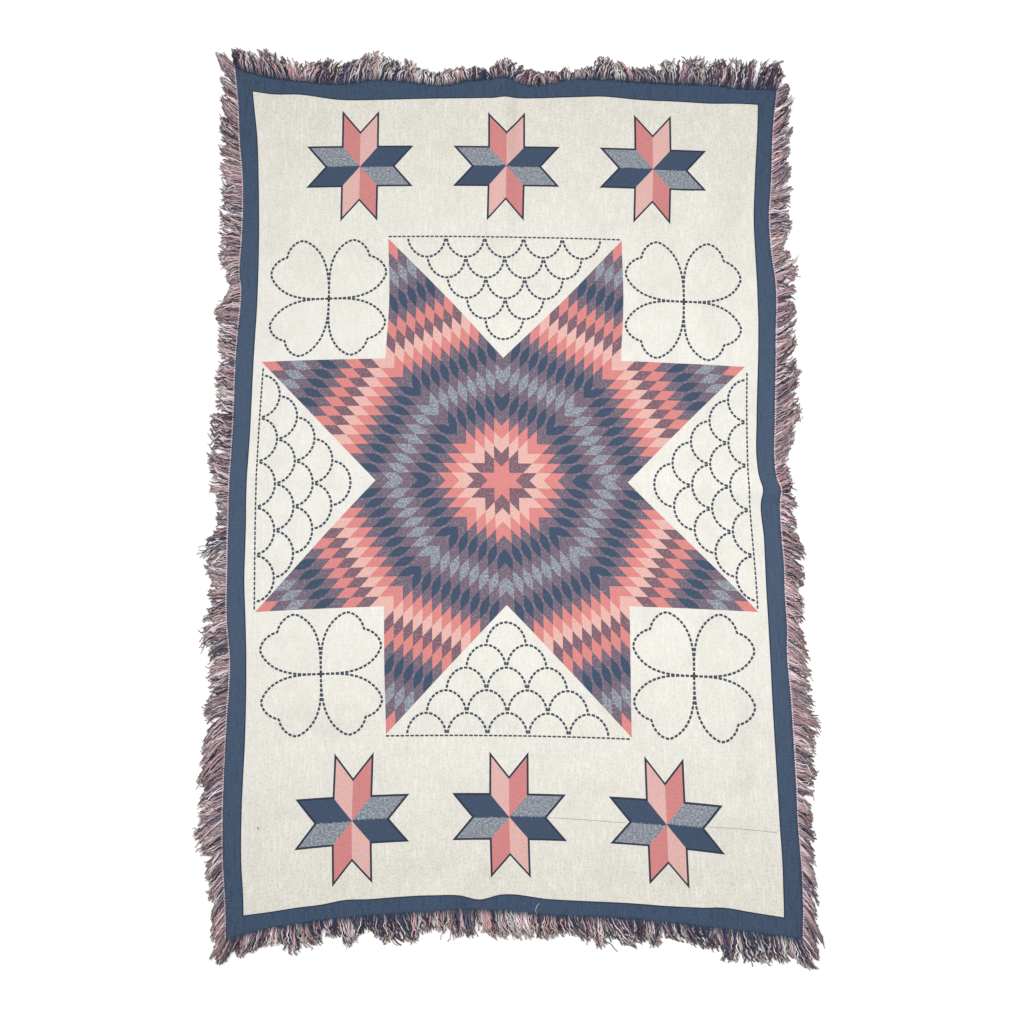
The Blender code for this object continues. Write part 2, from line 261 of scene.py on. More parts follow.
def lay_cloth(u, v):
    """Where a point of the flat cloth lies, from its shares u across and v along."""
    u = np.asarray(u, float)[..., None]
    v = np.asarray(v, float)[..., None]
    size = np.array([CLOTH_WIDTH, CLOTH_LENGTH])
    flat = (np.concatenate([u, v], axis=-1) - 0.5) * size

    def pull(side, share, start, end):
        straight = (np.array(start) + (np.array(end) - np.array(start)) * share - 0.5) * size
        return side_points(SIDES[side], share[..., 0]) - straight

    def fade(inwards):
        return np.clip(1 - inwards / WAVE_DEPTH, 0, 1) ** 2

    near = {"left": fade(u * CLOTH_WIDTH), "right": fade((1 - u) * CLOTH_WIDTH),
            "bottom": fade(v * CLOTH_LENGTH), "top": fade((1 - v) * CLOTH_LENGTH)}
    laid = flat + near["left"] * pull("left", v, (0, 0), (0, 1))
    laid = laid + near["right"] * pull("right", v, (1, 0), (1, 1))
    laid = laid + near["bottom"] * pull("bottom", u, (0, 0), (1, 0))
    laid = laid + near["top"] * pull("top", u, (0, 1), (1, 1))
    for across, share_u in (("left", 0.0), ("right", 1.0)):
        for along, share_v in (("bottom", 0.0), ("top", 1.0)):
            corner = side_points(SIDES[across], share_v) - (np.array([share_u, share_v]) - 0.5) * size
            laid = laid - near[across] * near[along] * corner
    return laid


print("corner of the laid cloth:", np.round(lay_cloth(0.0, 1.0), 3))

# %% [markdown]
# ## Folds
#
# A few soft ridges stand where the throw was folded. Each has a line, a height at both ends and a
# half width, and the tallest ridge over a point wins. Cloth this heavy also lies in faint ripples,
# which are a sum of slow waves.

# %% Ridges and ripples
Fold = namedtuple("Fold", "x0 y0 height0 x1 y1 height1 half_width")
FOLDS = rows_of(Fold, (
    (0.600, -0.012, 0.009, 0.330, -0.004, 0.003, 0.034),
    (0.330, -0.004, 0.003, -0.600, 0.020, 0.002, 0.030),
    (0.000, 0.900, 0.009, 0.000, 0.520, 0.002, 0.026),
    (0.290, 0.560, 0.003, 0.270, 0.210, 0.001, 0.055),
    (0.420, 0.600, 0.005, 0.400, 0.170, 0.002, 0.060),
    (0.500, 0.330, 0.004, 0.470, 0.120, 0.001, 0.050),
    (0.330, -0.420, 0.002, 0.440, -0.560, 0.005, 0.050),
    (-0.130, -0.820, 0.005, -0.030, -0.720, 0.002, 0.045),
    (0.150, -0.640, 0.002, 0.440, -0.655, 0.004, 0.045),
    (0.392, -0.900, 0.006, 0.385, -0.800, 0.002, 0.030),
))
Ripple = namedtuple("Ripple", "length turn phase height")
RIPPLES = rows_of(Ripple, (
    (0.310, 0.35, 0.4, 0.00030),
    (0.190, 1.90, 2.1, 0.00022),
    (0.130, 2.75, 4.0, 0.00014),
    (0.085, 0.95, 1.2, 0.00008),
))


# %% Heights of the two faces
def lift_of(points):
    """Height of the cloth's underside: the tallest ridge over each point.

    A ridge falls from its line to nothing at its half width as (1 - distance squared) squared.
    """
    lift = np.zeros(points.shape[:-1])
    for fold in FOLDS:
        start = np.array([fold.x0, fold.y0])
        run = np.array([fold.x1, fold.y1]) - start
        share = np.clip(((points - start) @ run) / (run @ run), 0, 1)
        distance = np.linalg.norm(points - (start + share[..., None] * run), axis=-1)
        height = fold.height0 + (fold.height1 - fold.height0) * share
        bump = np.clip(1 - (distance / fold.half_width) ** 2, 0, 1) ** 2
        lift = np.maximum(lift, height * bump)
    return lift


def ripple_of(points):
    """Faint ripples of the upper face: slow sine waves that cross each other, never below zero."""
    total = np.zeros(points.shape[:-1])
    for ripple in RIPPLES:
        way = np.array([np.cos(ripple.turn), np.sin(ripple.turn)])
        total += ripple.height * (1 + np.sin(points @ way * 2 * np.pi / ripple.length + ripple.phase))
    return total


def top_of(points):
    """Height of the cloth's upper face."""
    return lift_of(points) + CLOTH_THICKNESS + ripple_of(points)


print("tallest fold, mm:", round(1000 * max(fold.height0 for fold in FOLDS), 1))

# %% [markdown]
# ## The chart under the cloth
#
# A weaver's chart is drawn square, but the cloth has stretched: its middle line wanders, its
# lower half has grown wider, and its rows sag towards the corners. One table says how the chart's
# rows lie, and its inverse gives each point of the cloth a place on the chart. That place goes
# into a UV map in metres, so every woven line bends with the cloth.

# %% Chart places
Row = namedtuple("Row", "laid chart middle stretch sag slope")
ROWS = rows_of(Row, (
    (-0.824, -0.845, 0.0140, 1.030, 0.180, 0.000),
    (-0.644, -0.649, 0.0087, 1.026, 0.116, -0.0116),
    (-0.4865, -0.492, 0.0078, 1.013, 0.060, -0.013),
    (-0.362, -0.3694, 0.0052, 1.019, 0.055, -0.0055),
    (-0.237, -0.2466, 0.0037, 1.021, 0.061, 0.000),
    (0.008, 0.000, -0.0064, 1.008, 0.030, -0.009),
    (0.254, 0.2466, -0.0035, 0.998, 0.055, -0.011),
    (0.375, 0.3693, 0.0026, 0.996, 0.060, -0.009),
    (0.4973, 0.492, 0.0002, 0.997, 0.048, -0.009),
    (0.6475, 0.649, 0.0028, 1.002, 0.040, -0.0095),
    (0.834, 0.845, 0.0030, 1.000, 0.000, -0.020),
))


# %% From the laid cloth to the chart and back
def chart_of(points):
    """Chart places of laid points: undo the sag and slope, then the row's shift and stretch."""
    x, y = points[..., 0], points[..., 1]
    off = x - between_rows(ROWS, "middle", y)
    y = y + between_rows(ROWS, "sag", y) * off**2
    y = y - between_rows(ROWS, "slope", y) * off
    beyond = y - np.clip(y, ROWS[0].laid, ROWS[-1].laid)
    chart_y = between_rows(ROWS, "chart", y) + beyond
    off = x - between_rows(ROWS, "middle", y)
    return np.stack([off / between_rows(ROWS, "stretch", y), chart_y], axis=-1)


def laid_of(chart):
    """Laid points of chart places: a guess, mended a few times by what chart_of says of it."""
    points = chart.copy()
    for _ in range(6):
        points = points + (chart - chart_of(points))
    return points


print("chart's middle lies at:", np.round(laid_of(np.zeros((1, 2))), 4))


# %% How far inside the border a point is
def inset_of(points):
    """Distances of laid points inside the cream field, from its sides and from its ends.

    A third part of zeros makes a vector of them.
    """
    x, y = points[..., 0], points[..., 1]

    def line(side, at):
        rows = SIDES[side].sections
        return between_rows(rows, "edge", at) - SIDES[side].outward * between_rows(rows, "border", at)

    from_sides = np.minimum(x - line("left", y), line("right", y) - x)
    from_ends = np.minimum(y - line("bottom", x), line("top", x) - y)
    return np.stack([from_sides, from_ends, np.zeros_like(x)], axis=-1)


print("inset at the middle:", np.round(inset_of(np.zeros((1, 2))), 3))

# %% [markdown]
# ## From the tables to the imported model
#
# The tables are measured from the middle of the cloth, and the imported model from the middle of
# its whole footprint. The panel's box gives the shift between the two, so that every piece lands
# where its node is.

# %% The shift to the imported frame
ring = np.concatenate([side_points(side, np.linspace(0, 1, 400)) for side in SIDES.values()])
panel_low, panel_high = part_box("woven_panel")
panel_middle = (np.array(panel_low[:2]) + np.array(panel_high[:2])) / 2
shift = panel_middle - (ring.min(axis=0) + ring.max(axis=0)) / 2
print("shift, mm:", np.round(shift * 1000, 2))


def in_frame(points):
    """Table points with heights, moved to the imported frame."""
    return points + np.array([*shift, 0.0])


# %% Meshes from arrays
def put_in(name, data):
    """A new object in the scene."""
    thing = bpy.data.objects.new(name, data)
    bpy.context.scene.collection.objects.link(thing)
    return thing


def new_piece(name, points, faces, material):
    """A piece at the origin from arrays of points and faces, riding on the root body."""
    mesh = bpy.data.meshes.new(name)
    mesh.from_pydata(points.reshape(-1, 3), [], faces.tolist() if hasattr(faces, "tolist") else faces)
    mesh.polygons.foreach_set("use_smooth", [True] * len(mesh.polygons))
    mesh.materials.append(material)
    piece = put_in(name, mesh)
    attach(piece, "root")
    return piece


# %% Values that a mesh carries
def set_uv(mesh, name, places):
    """A UV map from one place for each point."""
    corners = np.empty(len(mesh.loops), np.int32)
    mesh.loops.foreach_get("vertex_index", corners)
    layer = mesh.uv_layers.new(name=name)
    layer.data.foreach_set("uv", places[corners].astype(np.float32).ravel())


def set_attribute(mesh, name, kind, values):
    """A named value for each point: FLOAT_VECTOR or FLOAT_COLOR."""
    layer = mesh.attributes.new(name, kind, "POINT")
    layer.data.foreach_set("vector" if kind == "FLOAT_VECTOR" else "color",
                           values.astype(np.float32).ravel())


# %% [markdown]
# ## Shader sums
#
# The chart's rules are sums on the UV map: which column, which row, inside or not. Writing them
# one node at a time hides the rule, so a small class lets Python's own signs make the nodes. Each
# sum still becomes one Math node, in the order in which it is written.


# %% A number that varies over the cloth
def math_node(operation):
    """A method of Number that makes one Math node."""
    def made(self, *others):
        node = self.tree.nodes.new("ShaderNodeMath")
        node.operation = operation
        for slot, value in zip(node.inputs, (self, *others)):
            if isinstance(value, Number):
                self.tree.links.new(value.socket, slot)
            else:
                slot.default_value = value
        return Number(self.tree, node.outputs[0])
    return made


class Number:
    """A node output that can be added, multiplied and compared. A comparison gives 1 or 0."""

    def __init__(self, tree, socket):
        self.tree = tree
        self.socket = socket

    __add__ = math_node("ADD")
    __sub__ = math_node("SUBTRACT")
    __mul__ = math_node("MULTIPLY")
    __truediv__ = math_node("DIVIDE")
    __lt__ = math_node("LESS_THAN")
    __gt__ = math_node("GREATER_THAN")
    __abs__ = math_node("ABSOLUTE")
    floor = math_node("FLOOR")
    fraction = math_node("FRACT")
    sine = math_node("SINE")
    least = math_node("MINIMUM")
    most = math_node("MAXIMUM")

    def clamp(self):
        return self.least(1.0).most(0.0)

    def turned(self):
        """1 becomes 0, and 0 becomes 1."""
        return self * -1.0 + 1.0

    def choose(self, yes, no):
        """yes where this is 1 and no where it is 0: no + this * (yes - no)."""
        return self * (yes - no) + no


# %% Noise, and the parts of a place
def noise(tree, place, scale, detail=2.0, rough=0.5, stretch=(1.0, 1.0, 1.0)):
    """Cloudy noise around 0.5, on the chart's metres, finer along an axis that is stretched."""
    spread = tree.nodes.new("ShaderNodeVectorMath")
    spread.operation = "MULTIPLY"
    spread.inputs[1].default_value = stretch
    tree.links.new(place, spread.inputs[0])
    node = tree.nodes.new("ShaderNodeTexNoise")
    node.inputs["Scale"].default_value = scale
    node.inputs["Detail"].default_value = detail
    node.inputs["Roughness"].default_value = rough
    tree.links.new(spread.outputs["Vector"], node.inputs["Vector"])
    return Number(tree, node.outputs["Fac"])


def parts_of(tree, place):
    """The first two parts of a place, as numbers."""
    node = tree.nodes.new("ShaderNodeSeparateXYZ")
    tree.links.new(place, node.inputs[0])
    return Number(tree, node.outputs["X"]), Number(tree, node.outputs["Y"])


# %% Relief, paint and flecks
def add_relief(tree, shader, height, strength, distance):
    """Bumps of a height, in units of a distance in metres."""
    bump = tree.nodes.new("ShaderNodeBump")
    bump.inputs["Strength"].default_value = strength
    bump.inputs["Distance"].default_value = distance
    tree.links.new(height.socket, bump.inputs["Height"])
    tree.links.new(bump.outputs["Normal"], shader.inputs["Normal"])


def paint(tree, under, colour, where):
    """Lays a colour over another where a number is 1."""
    node = tree.nodes.new("ShaderNodeMix")
    node.data_type = "RGBA"
    node.blend_type = "MIX"
    tree.links.new(where.socket, node.inputs["Factor"])
    for socket, value in ((node.inputs["A"], under), (node.inputs["B"], colour)):
        if isinstance(value, tuple):
            socket.default_value = (*value, 1.0)
        else:
            tree.links.new(value, socket)
    return node.outputs["Result"]


Fleck = namedtuple("Fleck", "colour noise level sharpness strength")


def flecked(tree, under, *flecks):
    """Lays each fleck's colour over the one below it, where its noise passes its level.

    A fleck covers (noise - level) * sharpness, kept within 0 to 1, times its strength.
    """
    for fleck in flecks:
        where = ((fleck.noise - fleck.level) * fleck.sharpness).clamp() * fleck.strength
        under = paint(tree, under, fleck.colour, where)
    return under


# %% Cottons
def new_cotton(name):
    """A matt cotton material with a little sheen, its node tree and its shader."""
    material = bpy.data.materials.new(name)
    material.use_nodes = True
    tree = material.node_tree
    shader = tree.nodes["Principled BSDF"]
    shader.inputs["Roughness"].default_value = 0.9
    shader.inputs["Specular IOR Level"].default_value = 0.08
    shader.inputs["Sheen Weight"].default_value = 0.02
    shader.inputs["Sheen Roughness"].default_value = 0.5
    return material, tree, shader


def flecked_cotton(name, one, other):
    """A cotton of two colours that fine noise mixes."""
    material, tree, shader = new_cotton(name)
    place = tree.nodes.new("ShaderNodeTexCoord").outputs["Object"]
    fleck = noise(tree, place, 500.0)
    tree.links.new(paint(tree, one, other, fleck), shader.inputs["Base Color"])
    return material


# %% [markdown]
# ## The big star
#
# This is the old quilt block made of eight diamonds, each cut into small cells. Folding the chart
# about both middle lines and about the diagonals leaves one half arm to describe. In it `u` counts
# columns away from the arm's middle, and `r` counts cells along a column. A cell's colour hangs
# only on `column + cell`, which is why the colours run round the star as rings.

# %% The big star's rule
COLUMN_X = 0.01835
COLUMN_Y = 0.0192
CELL_LENGTH = 0.0274
FIRST_COLUMN = 0.8
COLUMNS = 13
CELLS = 9
RINGS = (SALMON, PLUM, PINK, SALMON, MAUVE, NAVY, MAUVE, GREY, MAUVE, NAVY, MAUVE,
         SALMON, PINK, PLUM, SALMON, MAUVE, NAVY, MAUVE, GREY, MAUVE, SALMON)
CORNERS = tuple(LILAC if colour in (NAVY, GREY) else colour for colour in RINGS)
SPECKLED = {GREY: 1.0, LILAC: 0.6, MAUVE: 0.55, PLUM: 0.5, PINK: 0.45, SALMON: 0.3, NAVY: 0.12}
CORNER_CUT = 0.80


def ring_colours(tree, ring_number, colours):
    """A colour ramp of flat steps, one for each ring. Its alpha says how speckled the ring is."""
    node = tree.nodes.new("ShaderNodeValToRGB")
    ramp = node.color_ramp
    ramp.interpolation = "CONSTANT"
    while len(ramp.elements) < len(colours):
        ramp.elements.new(1.0)
    for k, colour in enumerate(colours):
        ramp.elements[k].position = k / len(colours)
        ramp.elements[k].color = (*colour, SPECKLED[colour])
    tree.links.new(((ring_number + 0.5) / len(colours)).socket, node.inputs["Fac"])
    return node.outputs["Color"], Number(tree, node.outputs["Alpha"])


def big_star(tree, x, y, ground, ground_speckle):
    """Paints the star over the ground. Returns the colour and how speckled it is.

    The weave rounds off a dark cell: at its two sharp corners, where the shares across and along
    the cell differ most, a lilac thread comes up.
    """
    across, along = abs(x), abs(y)
    columns_x, columns_y = across / COLUMN_X, along / COLUMN_Y
    steep = columns_y > columns_x
    u = columns_x.least(columns_y)
    v = columns_x.most(columns_y)
    pitch = steep.choose(COLUMN_Y, COLUMN_X)
    r = (v - u) * pitch / CELL_LENGTH
    shifted = u + (1.0 - FIRST_COLUMN)
    ring_number = shifted.floor() + r.floor()
    inside = (u < COLUMNS - 1 + FIRST_COLUMN) * (r < CELLS)
    colour, speckle = ring_colours(tree, ring_number, RINGS)
    corner_colour, _ = ring_colours(tree, ring_number, CORNERS)
    corner = abs(shifted.fraction() - r.fraction()) > CORNER_CUT
    colour = paint(tree, colour, corner_colour, corner)
    return (paint(tree, ground, colour, inside),
            inside.choose(speckle, ground_speckle))


# %% [markdown]
# ## The small stars
#
# Six stars of eight plain diamonds stand in two rows. The chart is folded onto one of them: the
# nearest column across, and the distance beyond the row's middle line up or down, which turns the
# lower row upside down as in the real cloth. A thin dark line runs just inside each star's edge.

# %% The small stars' rule
STAR_SALMON = linear(216, 139, 137)
STAR_PINK = linear(234, 187, 180)
STAR_GREY = linear(142, 148, 158)
STAR_LINE = linear(56, 63, 82)
STAR_COLUMN = 0.295
STAR_ROW = 0.649
STAR_HALF_X = 0.0361
STAR_HALF_Y = 0.0427
STAR_LENGTH_X = 0.0686
STAR_LENGTH_Y = 0.0727
LOWER_STRETCH = 1.048
OUTLINE = 0.0038
OUTLINE_OUTSIDE = 0.0012
MIDDLE_LINE = 0.0016
END_SLANT = 0.71
PINK_SPECKLE = 0.43
SALMON_SPECKLE = 0.28
NAVY_SPECKLE = 0.10
GREY_SPECKLE = 1.00


def small_stars(tree, x, y, ground, ground_speckle):
    """Paints the six small stars over the ground."""
    nearest = (x / STAR_COLUMN + 0.5).floor().least(1.0).most(-1.0)
    sx = x - nearest * STAR_COLUMN
    tall = (y < 0.0) * (1.0 / LOWER_STRETCH - 1.0) + 1.0
    sy = (abs(y) - STAR_ROW) * tall
    right_up = (sx * sy) > 0.0
    across, along = abs(sx), abs(sy)
    half_x, half_y = across / STAR_HALF_X, along / STAR_HALF_Y
    upright = half_y > half_x
    to_side = upright.choose(half_x * -STAR_HALF_X + STAR_HALF_X, half_y * -STAR_HALF_Y + STAR_HALF_Y)
    end_y = half_x * STAR_HALF_Y + STAR_LENGTH_Y - along
    end_x = half_y * STAR_HALF_X + STAR_LENGTH_X - across
    to_end = upright.choose(end_y, end_x) * END_SLANT
    depth = to_side.least(to_end) + OUTLINE_OUTSIDE
    inside = depth > 0.0
    warm = paint(tree, STAR_SALMON, STAR_PINK, right_up)
    cool = paint(tree, STAR_GREY, NAVY, right_up)
    cool = paint(tree, cool, NAVY, abs(sy) < MIDDLE_LINE)
    colour = paint(tree, cool, warm, upright)
    colour = paint(tree, colour, STAR_LINE, depth < OUTLINE)
    warm_speckle = right_up.choose(PINK_SPECKLE, SALMON_SPECKLE)
    cool_speckle = right_up.choose(NAVY_SPECKLE, GREY_SPECKLE)
    speckle = upright.choose(warm_speckle, cool_speckle) * (depth > OUTLINE)
    return (paint(tree, ground, colour, inside), inside.choose(speckle, ground_speckle))


# %% [markdown]
# ## Cloth
#
# The ground is cream with darker, pinker and greener flecks, as cotton of mixed yarns has. Soft
# grey clouds on it are painted shade of faint wrinkles, and the middle rows round the big star are
# painted whiter, a painted pool of light. The border is navy with a darker last thread on its inner
# side, and painted light makes it paler in the middle rows too.
# Threads run along the chart's lines: two sets of fine waves, broken by noise, give the weave its
# relief, and slower noise adds wrinkles.

# %% The cloth's material
WARP_PITCH = 0.0021
WEFT_PITCH = 0.0017
THREAD_RELIEF = 0.0004
WARP_SHARE = 0.3
WEFT_SHARE = 0.35
SPECK_SHARE = 1.6
WRINKLE_SHARE = 22.0
DARK_THREAD = 0.0026
GROUND_SPECKLE = 0.08
MOST_SPECKLED = 0.9
LIGHT_FLECKS = 0.44
DARK_FLECKS = 0.48
# How far the painted light of the middle rows reaches, and how sharply it fades.
PAINTED_LIGHT_END = 0.75
PAINTED_LIGHT_FADE = 2.2

cloth_cotton, tree, shader = new_cotton("woven_cotton")
uv = tree.nodes.new("ShaderNodeUVMap")
uv.uv_map = "chart"
chart_place = uv.outputs["UV"]
x, y = parts_of(tree, chart_place)
speck = noise(tree, chart_place, 620.0, rough=0.7)
grain = noise(tree, chart_place, 250.0, rough=0.65)
streak = noise(tree, chart_place, 1.0, rough=0.6, stretch=(190.0, 30.0, 1.0))
tint = noise(tree, chart_place, 95.0, rough=0.6)
painted_wrinkle_shade = noise(tree, chart_place, 14.0, detail=3.0, rough=0.6)
to_middle = abs(y) * -1.0
ground = flecked(
    tree, CREAM,
    Fleck(linear(168, 162, 148), grain, 0.48, 4.5, 0.44),
    Fleck(linear(255, 253, 247), streak, 0.50, 4.5, 0.60),
    Fleck(linear(236, 208, 200), tint, 0.54, 6.0, 0.22),
    Fleck(linear(192, 200, 178), tint * -1.0, -0.46, 6.0, 0.28),
    # Painted light: the middle rows round the big star are painted whiter, as a pool of light.
    Fleck(linear(253, 253, 247), to_middle, -PAINTED_LIGHT_END, PAINTED_LIGHT_FADE, 0.38),
    # Painted shade: soft grey clouds where faint wrinkles would shade the cloth.
    Fleck(linear(186, 184, 174), painted_wrinkle_shade, 0.46, 3.0, 0.20),
)
colour, speckle = small_stars(tree, x, y, ground, GROUND_SPECKLE)
colour, speckle = big_star(tree, x, y, colour, speckle)

inset = tree.nodes.new("ShaderNodeAttribute")
inset.attribute_name = "inset"
from_sides, from_ends = parts_of(tree, inset.outputs["Vector"])
from_field = from_sides.least(from_ends)
border = from_field < 0.0
navy = flecked(
    tree, NAVY,
    Fleck(PALE_NAVY, grain, 0.47, 5.0, 0.40),
    Fleck(DEEP_NAVY, streak, 0.50, 5.0, 0.35),
    # Painted light: the border is painted paler in the middle rows.
    Fleck(PALE_NAVY, to_middle, -PAINTED_LIGHT_END, PAINTED_LIGHT_FADE, 0.22),
)
colour = paint(tree, colour, navy, border)
colour = paint(tree, colour, DEEP_NAVY, border * (from_field > -DARK_THREAD) * 0.8)
speckle = speckle * border.turned()
print("nodes in the cloth's chart:", len(tree.nodes))

# %% Flecks, wear and thread relief
warm = Fleck(SALMON, tint, 0.40, 5.0, speckle < MOST_SPECKLED)
light_colour = flecked(tree, linear(218, 221, 224), warm)
colour = flecked(
    tree, colour,
    Fleck(light_colour, grain, 0.50, 6.0, speckle * LIGHT_FLECKS),
    Fleck(DEEP_NAVY, grain * -1.0, -0.48, 6.0, speckle * DARK_FLECKS),
)
tree.links.new(colour, shader.inputs["Base Color"])

warp = (x * (2 * np.pi / WARP_PITCH)).sine()
weft = (y * (2 * np.pi / WEFT_PITCH)).sine()
wrinkle = noise(tree, chart_place, 1.0, rough=0.45, stretch=(22.0, 9.0, 1.0))
relief = warp * WARP_SHARE + weft * WEFT_SHARE + speck * SPECK_SHARE + wrinkle * WRINKLE_SHARE
add_relief(tree, shader, relief, 0.35, THREAD_RELIEF)
print("nodes in the cloth's material:", len(tree.nodes))

# %% [markdown]
# ## The sheet
#
# The cloth is a closed thin sheet on a fine grid: an upper face, an under face and a rim. It lies
# on the folds of the imported panel, and replaces it. It is laid out from the flat size that it was
# woven to.

# %% The sheet's mesh
ACROSS = 156
ALONG = 240


def sheet_faces(rows, columns):
    """Faces of two stacked grids of points, the upper one first, joined round their rims."""
    index = np.arange(rows * columns).reshape(rows, columns)
    upper = np.stack([index[:-1, :-1], index[:-1, 1:], index[1:, 1:], index[1:, :-1]], axis=-1)
    under = upper[..., ::-1] + rows * columns
    loop = np.concatenate([index[0, :-1], index[:-1, -1], index[-1, :0:-1], index[:0:-1, 0]])
    after = np.roll(loop, -1)
    rim = np.stack([loop, loop + rows * columns, after + rows * columns, after], axis=-1)
    return np.concatenate([upper.reshape(-1, 4), under.reshape(-1, 4), rim])


u, v = np.meshgrid(np.linspace(0, 1, ACROSS + 1), np.linspace(0, 1, ALONG + 1))
laid = lay_cloth(u, v)
upper = np.concatenate([laid, top_of(laid)[..., None]], axis=-1)
under = np.concatenate([laid, lift_of(laid)[..., None]], axis=-1)
points = in_frame(np.concatenate([upper.reshape(-1, 3), under.reshape(-1, 3)]))
cloth = new_piece("woven_cloth", points, sheet_faces(ALONG + 1, ACROSS + 1), cloth_cotton)
chart = chart_of(laid).reshape(-1, 2)
set_uv(cloth.data, "chart", np.concatenate([chart, chart]))
inset_values = inset_of(laid).reshape(-1, 3)
set_attribute(cloth.data, "inset", "FLOAT_VECTOR", np.concatenate([inset_values, inset_values]))
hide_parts("woven_panel")
print("cloth faces:", len(cloth.data.polygons))

# %% [markdown]
# ## Dashed figures
#
# Four clovers and four fields of shells are drawn in the cloth with short floats of navy yarn,
# which imitate quilting stitches. Each float stands a little proud, so it is made as a small
# domed pad. The clovers, the shells and the shells' base lines are one mesh each: the figure's
# curve is walked in equal steps, and a pad is set down at each step, turned along the curve.


# %% Walking a curve in dashes
def on_curve(curve, known, at):
    """Points of a curve at distances, from the distances at which its own points are known."""
    return np.stack([np.interp(at, known, curve[:, k]) for k in (0, 1)], axis=1)


def walk(curve, dash, gap):
    """Middles and directions of dashes spread evenly along a curve."""
    steps = np.linalg.norm(np.diff(curve, axis=0), axis=1)
    along = np.concatenate([[0.0], np.cumsum(steps)])
    count = max(1, round((along[-1] + gap) / (dash + gap)))
    pitch = (along[-1] + gap) / count
    middles = (np.arange(count) + 0.5) * pitch - gap / 2
    way = on_curve(curve, along, middles + dash / 4) - on_curve(curve, along, middles - dash / 4)
    return on_curve(curve, along, middles), way / np.linalg.norm(way, axis=1)[:, None]


Dashes = namedtuple("Dashes", "middles ways length width")


def dashes_on(curves, dash, gap, width):
    """The dashes of several curves with one dash length."""
    walked = [walk(curve, dash, gap) for curve in curves]
    return Dashes(np.concatenate([w[0] for w in walked]), np.concatenate([w[1] for w in walked]),
                  dash, width)


# %% [markdown]
# A clover leaf here is a heart with its point at the clover's middle. Measured by the angle from
# the leaf's own middle line, its radius is a power of a cosine, which brings both sides back to
# the point, less a notch that makes the cleft.

# %% The clovers' curve
CLOVER_AT = (0.356, 0.373)
LEAF_RADIUS = 0.1455
LEAF_STRETCH = 1.025
LEAF_ROUNDNESS = 0.45
CLEFT_DEPTH = 0.193
CLEFT_ANGLE = np.radians(22)
DASH = 0.0078
DASH_GAP = 0.0013
DASH_WIDTH = 0.0050


def leaf():
    """One heart: radius = LEAF_RADIUS * cos(2 angle) ** LEAF_ROUNDNESS, less the cleft."""
    angle = np.radians(45) * np.sin(np.linspace(-np.pi / 2, np.pi / 2, 181))
    radius = LEAF_RADIUS * np.clip(np.cos(2 * angle), 0, 1) ** LEAF_ROUNDNESS
    radius = radius * (1 - CLEFT_DEPTH * np.clip(1 - abs(angle) / CLEFT_ANGLE, 0, 1))
    turn = angle + np.radians(45)
    return np.stack([radius * np.cos(turn), radius * np.sin(turn) * LEAF_STRETCH], axis=1)


QUARTERS = ((-1, -1), (-1, 1), (1, -1), (1, 1))
clover_curves = [np.array(CLOVER_AT) * quarter + leaf() * turned
                 for quarter in QUARTERS for turned in QUARTERS]
clover = dashes_on(clover_curves, DASH, DASH_GAP, DASH_WIDTH)
print("dashes in the clovers:", len(clover.middles))

# %% [markdown]
# The shells fill the four triangles between the star's arms. Half circles hang in rows from a
# thin line, one fewer in each row, and each row starts half a shell further in.

# %% The shells' curves
SHELL_ROWS = 5
SHELL_GAP = 0.004
SHELL_ROUNDNESS = 1.15
Shells = namedtuple("Shells", "base turn pitch row middle lean")
SHELLS = rows_of(Shells, (
    (0.4955, 0, 0.0780, 0.0421, -0.002, -0.006),
    (-0.4950, 0, 0.0776, 0.0430, -0.002, 0.000),
    (0.4827, 1, 0.0891, 0.0369, -0.003, 0.0115),
    (-0.4799, 1, 0.0891, 0.0369, -0.0044, 0.0115),
))
BASE_HALF = (0.2335, 0.2370)
BASE_DASH = 0.0082
BASE_GAP = 0.0012
BASE_WIDTH = 0.0036


def shell_curves(shells):
    """Half circles in rows from the base line towards the star's middle.

    An arc starts a gap below the row above and is as deep as the rest of its row. It stands a
    little short of half a pitch to each side, so that neighbours end side by side.
    """
    bend = np.linspace(0, np.pi, 49)
    towards = -np.sign(shells.base)
    curves = []
    for row in range(SHELL_ROWS):
        count = SHELL_ROWS - row
        for k in range(count):
            middle = shells.middle + (k - (count - 1) / 2) * shells.pitch
            deep = (shells.row - SHELL_GAP) * np.sin(bend) ** SHELL_ROUNDNESS
            along = middle - (shells.pitch / 2 - SHELL_GAP / 2) * np.cos(bend)
            off = shells.base + shells.lean * along + towards * (row * shells.row + SHELL_GAP + deep)
            curves.append(np.stack([off, along] if shells.turn else [along, off], axis=1))
    return curves


def base_line(shells):
    """The thin line that a field of shells hangs from."""
    half = BASE_HALF[shells.turn]
    ends = shells.middle + np.linspace(-half, half, 40)
    off = shells.base + shells.lean * ends
    return np.stack([off, ends] if shells.turn else [ends, off], axis=1)


shell = dashes_on([curve for shells in SHELLS for curve in shell_curves(shells)],
                  DASH, DASH_GAP, DASH_WIDTH)
base = dashes_on([base_line(shells) for shells in SHELLS], BASE_DASH, BASE_GAP, BASE_WIDTH)
print("dashes in the shells:", len(shell.middles), "and their base lines:", len(base.middles))


# %% Pads for the dashes
PAD_SQUARENESS = 0.4
PAD_CROWN = 0.80
PAD_SUNK = 0.0003


